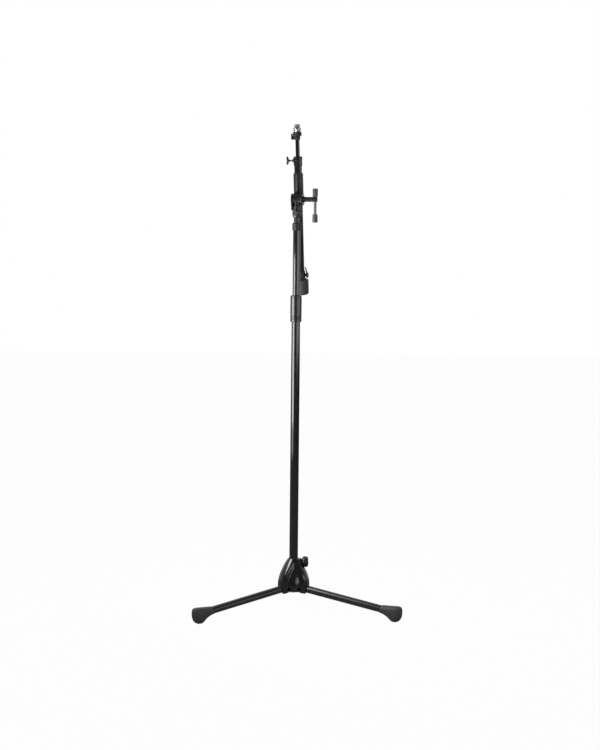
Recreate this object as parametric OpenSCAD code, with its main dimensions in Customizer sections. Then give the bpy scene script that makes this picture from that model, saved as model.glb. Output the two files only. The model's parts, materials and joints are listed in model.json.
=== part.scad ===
/* [Base] */
// Height of the leg pivots above the floor
pivot_z = 69; // [50:0.5:100]
// Distance of the leg pivots from the mast axis
pivot_r = 31; // [30:0.5:60]
// Slope of an opened leg below level
leg_slope = 8.4; // [4:0.1:20]
// Outside diameter of a leg tube
leg_d = 21; // [16:0.5:28]
// Wall of the leg and mast tubes
wall = 1.2; // [1:0.1:3]
// Length from a pivot to the blind end of the foot bore
leg_len = 290; // [200:1:400]
// Largest radius of the hub, at the leg slots
hub_r = 47.5; // [44:0.5:60]
// Height of the lower edge of the hub above the floor
hub_low = 56; // [50:0.5:70]
// Height of the hub from its lower edge to its mouth
hub_h = 99; // [80:1:130]
// Width of a foot
foot_w = 30; // [24:0.5:45]
// Distance from the mast axis to the end of a foot
foot_r = 339; // [250:1:450]
// Diameter of the hub knob
knob_d = 31; // [20:0.5:40]

/* [Mast] */
// Outside diameter of the lower tube
low_d = 25; // [20:0.5:32]
// Outside diameter of the upper tube
up_d = 21; // [16:0.5:28]
// Height of the upper end of the lower tube
low_top = 886; // [700:1:1000]
// Length of the upper tube
up_len = 785; // [400:1:900]
// Outside diameter of the clutch
clutch_d = 33; // [28:0.5:40]
// Height of the boom pivot
head_z = 1190; // [1000:1:1300]

/* [Boom] */
// Turn of the boom head about the mast
head_turn = -14; // [-180:1:180]
// Lean of the boom from the mast
boom_tilt = 12; // [5:1:140]
// Distance from the tilt axis to the boom axis
boom_off = 31; // [28:0.5:40]
// Outside diameter of the boom tube
boom_d = 22; // [16:0.5:28]
// Length of the boom tube
boom_len = 380; // [200:1:600]
// Distance from the tilt axis to the upper end of the boom tube
boom_up = 99; // [90:1:300]
// Length of the sleeve that holds the boom
sleeve_len = 89; // [60:1:140]
// Outside diameter of the boom rod
rod_d = 12; // [8:0.5:16]
// Length of the boom rod
rod_len = 386; // [200:1:600]
// Distance from the tilt axis to the upper end of the boom rod
rod_up = 173; // [160:1:460]
// Outside diameter of the counterweight
weight_d = 45; // [36:0.5:60]
// Length of the T-bar
bar_len = 88.9; // [60:1:120]

/* [Hidden] */
$fn = 64;
fit = 0.05;
low_r = low_d / 2;
low_ri = low_r - wall;
up_r = up_d / 2;
up_ri = up_r - wall;
leg_r = leg_d / 2;
leg_ri = leg_r - wall;
slot_w = leg_d + 0.6;
lobe_w = slot_w + 8;
boom_r = boom_d / 2;
boom_ri = boom_r - wall;
rod_r = rod_d / 2;
rod_ri = rod_r - 1.2;
clutch_r = clutch_d / 2;
neck_r = up_r - 1.5;
stud_r = 4.75;
screw_r = 4;
pin_r = 3;
sleeve_r = boom_r + 3;
liner_r = boom_r + 1.3;
sleeve_low = -20;
sleeve_top = sleeve_low + sleeve_len;
knob_rise = 87.2;
bush_rise = 14;
bush_len = 62;
neck_len = 72;
plug_len = 12;
tail_len = 8;
knob_z = hub_low + knob_rise;
hub_top = hub_low + hub_h;
mast_low = hub_low + 10;
neck_z = head_z - neck_len;
up_bottom = neck_z - up_len;
boom_low = boom_up - boom_len;
rod_low = rod_up - rod_len;
wing_z = boom_up + 7.4;
weight_low = boom_low - 3.4;
weight_top = weight_low + 44.6;
weight_screw_z = weight_top + 12.4;
bar_x = 52.5;
bar_r = 3.9;
cap_len = 19.4;
bar_low = -62;
leg_turns = [90, 210, 330];

module at_leg(a) {
  rotate([0, 0, a]) translate([pivot_r, 0, pivot_z]) rotate([0, leg_slope, 0]) children();
}

module along(s0, s1, r) {
  translate([s0, 0, 0]) rotate([0, 90, 0]) cylinder(h = s1 - s0, r = r);
}

module across(r, y0, y1) {
  translate([0, y1, 0]) rotate([90, 0, 0]) cylinder(h = y1 - y0, r = r);
}

module side(w, pts) {
  translate([0, w / 2, 0]) rotate([90, 0, 0]) linear_extrude(height = w) polygon(pts);
}

module tube(z0, z1, ro, ri) {
  difference() {
    translate([0, 0, z0]) cylinder(h = z1 - z0, r = ro);
    translate([0, 0, z0 - 1]) cylinder(h = z1 - z0 + 2, r = ri);
  }
}

module head() {
  translate([0, 0, head_z]) rotate([0, 0, head_turn]) children();
}

module tilted() {
  head() rotate([boom_tilt, 0, 0]) children();
}

module boom() {
  tilted() translate([0, boom_off, 0]) children();
}

module bolt_x(x0, x1, r) {
  translate([x0, 0, 0]) rotate([0, 90, 0]) cylinder(h = x1 - x0, r = r);
}

// tripod hub

// Outline of the hub: share of the radius and share of the height
lobe_line = [[0, 0], [0.98, 0], [1, 0.02], [1, 0.25], [0.985, 0.33], [0.945, 0.43], [0.865, 0.545],
  [0.77, 0.645], [0.655, 0.745], [0.53, 0.85], [0.395, 0.95], [0.316, 1], [0, 1]];
valley_line = [[0, 0.067], [0.78, 0.067], [0.8, 0.087], [0.8, 0.232], [0.726, 0.354], [0.653, 0.465],
  [0.568, 0.586], [0.484, 0.707], [0.4, 0.828], [0.341, 0.929], [0.316, 1], [0, 1]];

module hub_turned(line) {
  translate([0, 0, hub_low]) rotate_extrude() polygon([for (p = line) [p[0] * hub_r, p[1] * hub_h]]);
}

module lobe_blocks(low, high) {
  for (a = leg_turns) rotate([0, 0, a]) translate([0, -lobe_w / 2, low]) cube([60, lobe_w, high - low]);
}

module hub_hollow() {
  rim = 0.8 * hub_r - 4.2;
  difference() {
    translate([0, 0, hub_low]) rotate_extrude() polygon([[18, -10], [rim, -10], [rim, 22],
      [rim - 3.3, 33], [rim - 6.8, 44], [18, 44]]);
    lobe_blocks(hub_low - 11, hub_low + 49);
  }
}

module leg_slot() {
  inner = pivot_r - leg_r - 0.4;
  roof = pivot_z + leg_r + 0.4;
  side(slot_w, [[inner, 45], [inner, roof + 1.8], [61, roof - 2.8], [61, 45]]);
  side(17.6, [[21.5, pivot_z], [21.5, hub_low + 60], [28.5, hub_low + 60], [33, hub_low + 51],
    [37.6, hub_low + 39], [40, hub_low + 30], [40, pivot_z]]);
}

module hub() {
  color([0.06, 0.06, 0.065]) difference() {
    union() {
      difference() {
        hub_turned(valley_line);
        hub_hollow();
      }
      intersection() {
        hub_turned(lobe_line);
        lobe_blocks(hub_low - 1, hub_top + 1);
      }
      translate([0, 0, knob_z]) bolt_x(13.5, 24, 10.4);
    }
    for (a = leg_turns) rotate([0, 0, a]) {
      leg_slot();
      translate([pivot_r, 0, pivot_z]) {
        across(pin_r, -25, 25);
        across(5.4, lobe_w / 2, 30);
        across(5.4, -30, -lobe_w / 2);
      }
    }
    translate([0, 0, hub_low - 10]) cylinder(h = hub_h + 20, r = low_r + 0.4);
    translate([0, 0, hub_low - 10]) cylinder(h = 20.3, r = 16);
    translate([0, 0, hub_low + bush_rise]) cylinder(h = bush_len, r = 14.2);
    translate([0, 0, knob_z]) {
      bolt_x(11, 17, 5);
      bolt_x(11, 30, screw_r + fit);
      bolt_x(24.6, 50, knob_d / 2 + 0.7);
    }
  }
}

module hub_bush() {
  color([0.12, 0.12, 0.12]) tube(hub_low + bush_rise, hub_low + bush_rise + bush_len, 14.2, low_r + fit);
}

module hub_pad() {
  color([0.2, 0.2, 0.2]) difference() {
    translate([0, 0, knob_z]) bolt_x(9, 15.5, 5);
    translate([0, 0, knob_z - 10]) cylinder(h = 20, r = low_r + fit);
  }
}

module hub_screw() {
  color([0.7, 0.7, 0.72]) translate([0, 0, knob_z]) bolt_x(15.8, 36, screw_r);
}

module hub_knob() {
  rim = knob_d / 2;
  color([0.08, 0.08, 0.085]) translate([0, 0, knob_z]) rotate([0, 90, 0]) difference() {
    rotate_extrude() polygon([[0, 25.4], [rim - 4.5, 25.4], [rim - 0.9, 26.4], [rim, 28], [rim, 39],
      [rim - 1.3, 41.4], [rim - 4.5, 42.2], [0, 42.4]]);
    translate([0, 0, 25]) cylinder(h = 11, r = screw_r);
    for (a = [22.5:45:360]) rotate([0, 0, a]) translate([rim + 3.1, 0, 24]) cylinder(h = 20, r = 4.2);
  }
}

module leg_pins() {
  color([0.6, 0.6, 0.62]) for (a = leg_turns) rotate([0, 0, a]) translate([pivot_r, 0, pivot_z]) {
    across(pin_r, -lobe_w / 2 - 0.2, lobe_w / 2 + 0.2);
    across(5, lobe_w / 2, lobe_w / 2 + 1.8);
    across(5, -lobe_w / 2 - 1.8, -lobe_w / 2);
  }
}

// legs

module leg_tube() {
  color([0.1, 0.1, 0.105]) difference() {
    along(11.2, leg_len, leg_r);
    along(5, leg_len + 5, leg_ri);
  }
}

module leg_root() {
  color([0.09, 0.09, 0.09]) difference() {
    union() {
      intersection() {
        along(-14, 11.2, leg_r - 0.2);
        union() {
          across(leg_r, -14, 14);
          translate([0, -14, -14]) cube([12, 28, 28]);
        }
      }
      along(11, 38, leg_ri);
    }
    across(pin_r + fit, -20, 20);
    difference() {
      along(24, 50, leg_ri - 2.5);
      along(10, 24, leg_r);
    }
  }
}

module foot_shape(a) {
  half = foot_w / 2;
  color([0.07, 0.07, 0.07]) difference() {
    rotate([0, 0, a]) translate([foot_r, 0, 0]) intersection() {
      side(foot_w + 4, [[-67, 21.9], [-60, 20.6], [-53, 18.2], [-47, 15.2], [-41, 11.6], [-36, 7.4],
        [-31.5, 3.2], [-27, 0.4], [-24, 0], [-16, 0], [-10, 2.2], [-5, 7.2], [-1.6, 13.6], [0, 23], [0, 33],
        [-0.6, 39], [-2.4, 42.6], [-5.5, 44.4], [-12, 45], [-25, 44.8], [-36, 44.3], [-50, 44.2], [-59, 43.8]]);
      linear_extrude(height = 60) polygon([[-70, 3 - half], [-60, 2.2 - half], [-46, 0.9 - half],
        [-30, -half], [-18, 0.2 - half], [-11, 1.2 - half], [-6, 3.2 - half], [-2, 6.4 - half], [0, 10.5 - half],
        [0, half - 10.5], [-2, half - 6.4], [-6, half - 3.2], [-11, half - 1.2], [-18, half - 0.2],
        [-30, half], [-46, half - 0.9], [-60, half - 2.2], [-70, half - 3]]);
    }
    at_leg(a) along(200, leg_len, leg_r);
  }
}

module front_left_leg_tube() {
  at_leg(210) leg_tube();
}

module front_left_leg_root() {
  at_leg(210) leg_root();
}

module front_left_foot() {
  foot_shape(210);
}

module front_right_leg_tube() {
  at_leg(330) leg_tube();
}

module front_right_leg_root() {
  at_leg(330) leg_root();
}

module front_right_foot() {
  foot_shape(330);
}

module rear_leg_tube() {
  at_leg(90) leg_tube();
}

module rear_leg_root() {
  at_leg(90) leg_root();
}

module rear_foot() {
  foot_shape(90);
}

// mast

module lower_tube() {
  color([0.1, 0.1, 0.105]) tube(mast_low, low_top, low_r, low_ri);
}

module tube_end_plug() {
  color([0.07, 0.07, 0.07]) {
    tube(mast_low - 4.5, mast_low, 15.5, 6);
    tube(mast_low, mast_low + 16, low_ri, 6);
  }
}

module clutch_base() {
  color([0.07, 0.07, 0.075]) translate([0, 0, low_top]) rotate_extrude() polygon([[low_r, -46],
    [clutch_r - 1.1, -46], [clutch_r, -44.8], [clutch_r, -34.3], [14, -34.3], [14, 6], [low_r, 6]]);
}

module clutch_collet() {
  color([0.25, 0.25, 0.25]) translate([0, 0, low_top]) difference() {
    rotate_extrude() polygon([[up_r + fit, 0], [low_r, 0], [low_r, 6], [low_r + 0.5, 6],
      [low_r - 0.7, 20.5], [up_r + fit, 20.5]]);
    for (a = [20, 110]) rotate([0, 0, a]) translate([-20, -0.8, 4]) cube([40, 1.6, 20]);
  }
}

module clutch_grip() {
  color([0.07, 0.07, 0.075]) translate([0, 0, low_top]) rotate_extrude() polygon([[14 + fit, -33.8],
    [clutch_r - 0.5, -33.8], [clutch_r, -33], [clutch_r, 27.6], [clutch_r - 0.7, 28.6],
    [clutch_r - 2.4, 30], [up_r + 0.4, 30], [up_r + 0.4, 22], [low_r + 0.1, 22], [14 + fit, 11]]);
}

module glide_bush() {
  color([0.3, 0.3, 0.3]) {
    tube(up_bottom - 10, up_bottom - 0.4, low_ri - fit, 5);
    tube(up_bottom - 0.4, up_bottom + 30, up_ri - fit, 5);
  }
}

module upper_tube() {
  color([0.1, 0.1, 0.105]) tube(up_bottom, neck_z, up_r, up_ri);
}

module top_collar() {
  rim = up_r + 2.5;
  color([0.07, 0.07, 0.07]) translate([0, 0, neck_z]) rotate_extrude() polygon([[up_r, -16.8],
    [rim - 0.8, -16.8], [rim, -15.8], [rim, 2.8], [rim - 1, 4.5], [neck_r, 4.5], [neck_r, 0], [up_r, 0]]);
}

module neck_stud() {
  color([0.45, 0.45, 0.46]) translate([0, 0, neck_z]) rotate_extrude() polygon([[0, -24],
    [up_ri, -24], [up_ri, 0], [neck_r, 0], [neck_r, 19.6], [neck_r - 0.7, 20.7], [stud_r, 20.7],
    [stud_r, 54], [0, 54]]);
}

module lock_nut() {
  color([0.55, 0.55, 0.56]) translate([0, 0, neck_z]) difference() {
    rotate_extrude() polygon([[stud_r + fit, 21.1], [11, 21.1], [13, 26], [13, 37.6], [12.2, 38.6],
      [stud_r + fit, 38.6]]);
    for (a = [0:30:330]) rotate([0, 0, a]) translate([13.9, 0, 20]) cylinder(h = 20, r = 1.5);
  }
}

module swivel_body() {
  color([0.08, 0.08, 0.085]) head() difference() {
    union() {
      translate([0, 0, -33.2]) cylinder(h = 15.7, r = 11.5);
      translate([0, 0, -18]) cylinder(h = 10, r = 9.6);
      bolt_x(-10.5, 10.5, 14);
    }
    translate([0, 0, -40]) cylinder(h = 22, r = stud_r);
    bolt_x(-20, 20, screw_r + 0.4);
  }
}

// clamp

module friction_washers() {
  color([0.5, 0.5, 0.5]) head() difference() {
    union() {
      bolt_x(-11.3, -10.5, 12.5);
      bolt_x(10.5, 11.3, 12.5);
    }
    bolt_x(-20, 20, screw_r + 0.4);
  }
}

module cheek(x0, x1, pts) {
  translate([x0, 0, 0]) rotate([90, 0, 90]) linear_extrude(height = x1 - x0) polygon(pts);
}

module boom_holder() {
  color([0.08, 0.08, 0.085]) tilted() difference() {
    union() {
      cheek(-16.2, -11.7, [[-14, -14], [-11, -28], [-6, -31.5], [10, -31.5], [20, -23.5], [23.4, sleeve_low],
        [boom_off, sleeve_low], [boom_off, 11.5], [4, 16], [-8, 15], [-15, 7]]);
      cheek(11.7, 16.2, [[-11, -11], [-2, -16.5], [12, sleeve_low], [boom_off, sleeve_low],
        [boom_off, 11.5], [12, 13.5], [-6, 14], [-13.6, 7], [-14.4, -4]]);
      bolt_x(16, 19, 9.4);
      translate([0, boom_off, sleeve_low]) cylinder(h = sleeve_len, r = sleeve_r);
    }
    bolt_x(-30, 30, screw_r + 0.4);
    bolt_x(-30, -14, 8.3);
    translate([0, boom_off, sleeve_low - 10]) cylinder(h = sleeve_len + 20, r = liner_r + fit);
  }
}

module clamp_nut() {
  color([0.7, 0.7, 0.72]) tilted() difference() {
    bolt_x(-17.2, -14, 8.3);
    bolt_x(-30, 0, screw_r + fit);
  }
}

module clamp_screw() {
  color([0.7, 0.7, 0.72]) head() bolt_x(-17, 30, screw_r);
}

module clamp_boss() {
  color([0.08, 0.08, 0.085]) head() difference() {
    rotate([0, 90, 0]) rotate_extrude() polygon([[0, 19.3], [9, 19.3], [9, 20.4], [7.25, 22.5],
      [7.25, 57.4], [6, 58.8], [0, 58.8]]);
    bolt_x(10, 30, screw_r);
    translate([bar_x, 0, -20]) cylinder(h = 40, r = bar_r + fit);
  }
}

module t_bar() {
  color([0.6, 0.6, 0.61]) head() translate([bar_x, 0, bar_low]) cylinder(h = bar_len, r = bar_r);
}

module t_bar_cap() {
  color([0.08, 0.08, 0.085]) rotate_extrude() polygon([[bar_r, -cap_len], [6.7, -cap_len],
    [7.7, 1 - cap_len], [7.7, 2.6], [6.3, 4], [0, 4], [0, 0], [bar_r, 0]]);
}

module t_bar_cap_upper() {
  head() translate([bar_x, 0, bar_low + bar_len]) t_bar_cap();
}

module t_bar_cap_lower() {
  head() translate([bar_x, 0, bar_low]) rotate([180, 0, 0]) t_bar_cap();
}

// boom

module boom_liner() {
  color([0.3, 0.3, 0.3]) boom() {
    tube(sleeve_low - 2, sleeve_low - 0.4, sleeve_r - 0.4, boom_r + fit);
    tube(sleeve_low - 0.4, sleeve_top + 0.4, liner_r, boom_r + fit);
    tube(sleeve_top + 0.4, sleeve_top + 1.6, sleeve_r - 0.4, boom_r + fit);
  }
}

module boom_tube() {
  color([0.1, 0.1, 0.105]) boom() tube(boom_low, boom_up, boom_r, boom_ri);
}

module boom_end_cap() {
  color([0.07, 0.07, 0.07]) boom() {
    tube(boom_low - 2.4, boom_low, boom_r, 3);
    tube(boom_low, boom_low + plug_len, boom_ri, 3);
  }
}

module screw_boss(x0, x1, r, inner) {
  difference() {
    bolt_x(x0, x1, r);
    translate([0, 0, -20]) cylinder(h = 40, r = inner);
  }
}

module boom_collar() {
  rim = boom_r + 2;
  color([0.07, 0.07, 0.07]) boom() difference() {
    union() {
      translate([0, 0, boom_up]) rotate_extrude() polygon([[boom_r, -8], [rim - 0.8, -8], [rim, -7],
        [rim, 17.6], [rim - 1.4, 19.2], [rod_r + 0.4, 19.2], [rod_r + 0.4, 2], [boom_r, 2]]);
      translate([0, 0, wing_z]) screw_boss(-15.5, -8, 5.6, 9);
    }
    translate([0, 0, wing_z]) bolt_x(-20, 0, 2 + fit);
  }
}

module rod_guide() {
  color([0.3, 0.3, 0.3]) boom() {
    tube(boom_up - 20, boom_up, boom_ri, rod_r + fit);
    tube(boom_up, boom_up + 2, boom_r, rod_r + fit);
  }
}

module boom_wing_screw() {
  color([0.7, 0.7, 0.72]) boom() translate([0, 0, wing_z]) bolt_x(-27, -6.4, 2);
}

module boom_wing() {
  color([0.08, 0.08, 0.085]) boom() translate([0, 0, wing_z]) difference() {
    union() {
      bolt_x(-30, -22.6, 3.4);
      side(4.4, [[-26.6, -3.4], [-27.4, -9.4], [-29, -11.6], [-31.6, -11.8], [-33.2, -10], [-33, -6], [-32, 0],
        [-33, 6], [-33.2, 10], [-31.6, 11.8], [-29, 11.6], [-27.4, 9.4], [-26.6, 3.4]]);
    }
    bolt_x(-27, 0, 2);
  }
}

module rod_bush() {
  color([0.3, 0.3, 0.3]) boom() {
    tube(rod_low - tail_len, rod_low - 0.4, boom_ri - fit, 2.5);
    tube(rod_low - 0.4, rod_low + 18, rod_ri - fit, 2.5);
  }
}

module boom_rod() {
  color([0.1, 0.1, 0.105]) boom() tube(rod_low, rod_up, rod_r, rod_ri);
}

module rod_tip() {
  boom() translate([0, 0, rod_up]) children();
}

module rod_stud() {
  color([0.6, 0.6, 0.61]) rod_tip() rotate_extrude() polygon([[0, -20], [rod_ri, -20], [rod_ri, 0],
    [rod_r, 0], [rod_r, 4], [stud_r, 4], [stud_r, 31], [0, 31]]);
}

module tip_ring() {
  color([0.07, 0.07, 0.07]) rod_tip() difference() {
    rotate_extrude() polygon([[stud_r, 4], [11.5, 4], [12.4, 5], [12.4, 13.4], [11.2, 14.8],
      [9, 15.4], [stud_r, 15.4]]);
    for (a = [0:20:340]) rotate([0, 0, a]) translate([13, 0, 0]) cylinder(h = 20, r = 1.1);
  }
}

module tip_nut() {
  color([0.62, 0.62, 0.63]) rod_tip() rotate_extrude() polygon([[stud_r + fit, 15.8], [9, 15.8],
    [9.5, 18], [10.8, 22], [11, 25.6], [10.2, 27.4], [stud_r + fit, 27.4]]);
}

module thread_adapter() {
  thread_r = 7.94;
  color([0.5, 0.5, 0.51]) rod_tip() difference() {
    rotate_extrude() polygon([[stud_r + fit, 27.8], [thread_r - 0.6, 27.8], [thread_r, 28.4],
      [thread_r, 36.4], [thread_r - 0.6, 37.1], [stud_r + fit, 37.1]]);
    translate([-1.5, -20, 30.3]) cube([3, 40, 20]);
  }
}

module cable_clip() {
  color([0.07, 0.07, 0.07]) rod_tip() difference() {
    union() {
      translate([0, 0, -6.6]) cylinder(h = 10, r = 8.4);
      translate([-17.6, -4.5, -6.6]) cube([13, 9, 10]);
      translate([-17.6, -4.5, -6.6]) cube([4.6, 9, 16.6]);
    }
    translate([0, 0, -20]) cylinder(h = 40, r = rod_r + fit);
    translate([-12.4, -1.6, -20]) cylinder(h = 40, r = 1.9);
  }
}

module counterweight() {
  rim = weight_d / 2;
  bend = 6;
  color([0.09, 0.09, 0.09]) boom() translate([0, 0, weight_low]) rotate_extrude() polygon(concat(
    [[boom_r + fit, 0]],
    [for (a = [0:15:90]) [rim - bend + bend * sin(a), bend - bend * cos(a)]],
    [[rim, 42.2], [rim - 0.7, 43.9], [rim - 2.4, 44.6], [boom_r + fit, 44.6]]));
}

module weight_collar() {
  rim = boom_r + 2.5;
  color([0.07, 0.07, 0.07]) boom() difference() {
    union() {
      translate([0, 0, weight_top]) rotate_extrude() polygon([[boom_r + fit, 0], [rim, 0],
        [rim, 23.8], [rim - 1.1, 25.2], [boom_r + fit, 25.2]]);
      translate([0, 0, weight_screw_z]) screw_boss(8, 15.4, 4.8, 12);
    }
    translate([0, 0, weight_screw_z]) bolt_x(5, 20, 2.5 + fit);
  }
}

module weight_screw() {
  color([0.7, 0.7, 0.72]) boom() translate([0, 0, weight_screw_z]) bolt_x(11.5, 20, 2.5);
}

module weight_screw_head() {
  color([0.08, 0.08, 0.085]) boom() translate([0, 0, weight_screw_z]) difference() {
    union() {
      rotate([0, 90, 0]) rotate_extrude() polygon([[0, 15.8], [5, 15.8], [7.6, 16.8], [7.6, 21.4],
        [6.4, 22.6], [0, 22.6]]);
      side(4, [[15.8, 0], [20.2, 0], [19.6, 11], [15.4, 22.4], [13, 24], [12.2, 22], [15.8, 12]]);
    }
    bolt_x(10, 20, 2.5);
  }
}

hub();
hub_bush();
hub_pad();
hub_screw();
hub_knob();
leg_pins();
front_left_leg_tube();
front_left_leg_root();
front_left_foot();
front_right_leg_tube();
front_right_leg_root();
front_right_foot();
rear_leg_tube();
rear_leg_root();
rear_foot();
lower_tube();
tube_end_plug();
clutch_base();
clutch_collet();
clutch_grip();
glide_bush();
upper_tube();
top_collar();
neck_stud();
lock_nut();
swivel_body();
friction_washers();
boom_holder();
clamp_nut();
clamp_screw();
clamp_boss();
t_bar();
t_bar_cap_upper();
t_bar_cap_lower();
boom_liner();
boom_tube();
boom_end_cap();
boom_collar();
rod_guide();
boom_wing_screw();
boom_wing();
rod_bush();
boom_rod();
rod_stud();
tip_ring();
tip_nut();
thread_adapter();
cable_clip();
counterweight();
weight_collar();
weight_screw();
weight_screw_head();
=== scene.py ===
# %% [markdown]
# A microphone boom stand. A tripod carries a two-stage mast, and the mast carries a two-stage boom
# that is folded up beside it. Most pieces are outlines turned round an axis. The hub, the feet and
# the flat castings are surfaces of their own. Places are in metres and outlines in millimetres, with
# +Z up and the mast on the Z axis.

# %% Load the frame
import json
import math

import bmesh
import bpy
import numpy as np
from mathutils import Matrix


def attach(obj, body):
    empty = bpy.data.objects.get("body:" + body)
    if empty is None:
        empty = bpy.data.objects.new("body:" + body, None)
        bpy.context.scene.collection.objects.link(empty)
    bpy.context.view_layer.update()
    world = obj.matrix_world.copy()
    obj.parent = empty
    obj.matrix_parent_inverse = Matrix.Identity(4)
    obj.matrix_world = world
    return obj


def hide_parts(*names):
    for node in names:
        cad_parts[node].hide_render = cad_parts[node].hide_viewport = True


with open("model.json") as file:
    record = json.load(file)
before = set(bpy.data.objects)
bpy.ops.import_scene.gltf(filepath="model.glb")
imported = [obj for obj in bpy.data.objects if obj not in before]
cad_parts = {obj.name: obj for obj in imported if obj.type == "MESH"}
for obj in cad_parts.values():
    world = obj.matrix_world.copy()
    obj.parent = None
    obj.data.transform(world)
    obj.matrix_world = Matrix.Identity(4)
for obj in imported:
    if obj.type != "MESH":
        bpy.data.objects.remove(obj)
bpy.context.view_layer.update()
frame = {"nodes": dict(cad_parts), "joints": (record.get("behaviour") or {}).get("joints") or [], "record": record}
joints = {joint["name"]: joint for joint in frame["joints"]}
body_of = {node: body for body, nodes in frame["record"]["behaviour"]["bodies"].items() for node in nodes}
slot_of = {part["node"]: part["material_slot"] for part in frame["record"]["subparts"]}
MM = 0.001
INCH = 25.4
SMOOTH_ANGLE = 38
THREAD_ANGLE = 60

# %% [markdown]
# Each piece is drawn upright round its own axis and then carried to its place by a 4 by 4 matrix.
# The axes come from the joints: the boom's from the slide of its rod, the head's from its tilt
# hinge, and each leg's from its fold hinge. A leg leans down from level by the slope of its tube.

# %% The places
def unit(vector):
    """The vector over its length."""
    return np.asarray(vector, float) / np.linalg.norm(vector)


def place(origin, up, side):
    """A matrix whose Z column is up and whose X column is side, made square to up."""
    z = unit(up)
    x = unit(side - z * np.dot(side, z))
    made = np.eye(4)
    made[:3, 0], made[:3, 1], made[:3, 2], made[:3, 3] = x, np.cross(z, x), z, origin
    return made


def shifted(matrix, x=0.0, y=0.0, z=0.0):
    """The place that lies x, y, z millimetres along the axes of another place."""
    made = matrix.copy()
    made[:3, 3] = matrix[:3, :3] @ (np.array([x, y, z]) * MM) + matrix[:3, 3]
    return made


def turned(matrix, up, side):
    """The same origin, with the axes up and side given in the axes of the place."""
    return place(matrix[:3, 3], matrix[:3, :3] @ up, matrix[:3, :3] @ side)


def level(turn):
    """The level direction at an angle from +X."""
    return np.array([math.cos(turn), math.sin(turn), 0.0])


MAST = np.eye(4)
tilt_axis = np.array(joints["boom_tilt"]["axis"])
boom_axis = np.array(joints["rod_slide"]["axis"])
pivot = np.array(joints["boom_tilt"]["pos_m"])
HEAD = place(pivot, [0, 0, 1], tilt_axis)
TILT = place(pivot, boom_axis, tilt_axis)
BOOM = place(joints["boom_roll"]["pos_m"], boom_axis, tilt_axis)
LEG_SLOPE = math.radians(8.4)
LEG_TURN = {"front_left": 210, "front_right": 330, "rear": 90}


def leg_place(name):
    """The leg's own place: Z outward along the tube, X along the fold pin and Y up from the tube."""
    turn = math.radians(LEG_TURN[name])
    along = level(turn) * math.cos(LEG_SLOPE) - np.array([0, 0, math.sin(LEG_SLOPE)])
    return place(joints[name + "_leg_fold"]["pos_m"], along, [-math.sin(turn), math.cos(turn), 0])


# %% [markdown]
# A surface here is a grid of points. A closed ring of points is repeated along a second direction.
# The grid then wraps round on itself, or its two ends are closed, each by a fan of triangles or by
# one flat face. Blender turns every face of a closed shell to point outward.

# %% Grids to meshes
def circle(count):
    """Angles of count points round a full turn."""
    return np.arange(count) * 2 * math.pi / count


def unit_rows(vectors):
    """Each row over its length."""
    return vectors / np.linalg.norm(vectors, axis=1)[:, None]


def grid_faces(rows, around, wrap_rows=False):
    """The quads of a grid of rows by around points, closed around, and along the rows if asked."""
    last = rows if wrap_rows else rows - 1
    i, j = np.meshgrid(np.arange(last), np.arange(around), indexing="ij")
    below, above = i * around, ((i + 1) % rows) * around
    after = (j + 1) % around
    return np.stack([below + j, below + after, above + after, above + j], -1).reshape(-1, 4)


def mesh_object(name, points, faces, smooth_angle=SMOOTH_ANGLE):
    """A mesh object from points in metres and lists of corner numbers, shaded smooth up to an angle."""
    mesh = bpy.data.meshes.new(name)
    mesh.from_pydata(np.asarray(points).tolist(), [], [list(map(int, face)) for face in faces])
    facing = bmesh.new()
    facing.from_mesh(mesh)
    bmesh.ops.recalc_face_normals(facing, faces=facing.faces)
    facing.to_mesh(mesh)
    facing.free()
    mesh.shade_smooth()
    mesh.set_sharp_from_angle(angle=math.radians(smooth_angle))
    made = bpy.data.objects.new(name, mesh)
    bpy.context.scene.collection.objects.link(made)
    return made


def tube_grid(rings):
    """Points and faces of a stack of closed rings, shape (rows, around, 3), with a fan at each end."""
    rows, around = rings.shape[:2]
    points = np.vstack([rings.reshape(-1, 3), rings[0].mean(0), rings[-1].mean(0)])
    base, first_pole = (rows - 1) * around, rows * around
    faces = list(grid_faces(rows, around))
    faces += [((k + 1) % around, k, first_pole) for k in range(around)]
    faces += [(base + k, base + (k + 1) % around, first_pole + 1) for k in range(around)]
    return points, faces


# %% [markdown]
# A turned piece is its half outline carried round the axis. Real edges are never sharp, so each
# corner of the outline is replaced by a short arc before it is turned.

# %% Turned pieces
def rounded(outline, radius=0.5, closed=False, steps=4):
    """The outline with each corner replaced by an arc of at most radius, tangent to both sides."""
    corners = [np.array(corner[:2], float) for corner in outline]
    radii = [corner[2] if len(corner) > 2 else radius for corner in outline]
    count = len(corners)
    made = []
    for k, corner in enumerate(corners):
        if not closed and k in (0, count - 1):
            made.append(corner[None])
            continue
        before, after = corners[k - 1] - corner, corners[(k + 1) % count] - corner
        room = 0.45 * min(np.linalg.norm(before), np.linalg.norm(after))
        before, after = unit(before), unit(after)
        half = 0.5 * math.acos(float(np.clip(before @ after, -1, 1)))
        if half > math.radians(88) or radii[k] <= 0:
            made.append(corner[None])
            continue
        reach = min(radii[k] / math.tan(half), room)
        size = reach * math.tan(half)
        centre = corner + unit(before + after) * (size / math.sin(half))
        start, end = corner + before * reach - centre, corner + after * reach - centre
        share = np.linspace(0, 1, steps + 1)[:, None]
        bend = math.pi - 2 * half
        weight = [np.sin((1 - share) * bend), np.sin(share * bend)]
        made.append(centre + (weight[0] * start + weight[1] * end) / math.sin(bend))
    return np.vstack(made)


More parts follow.
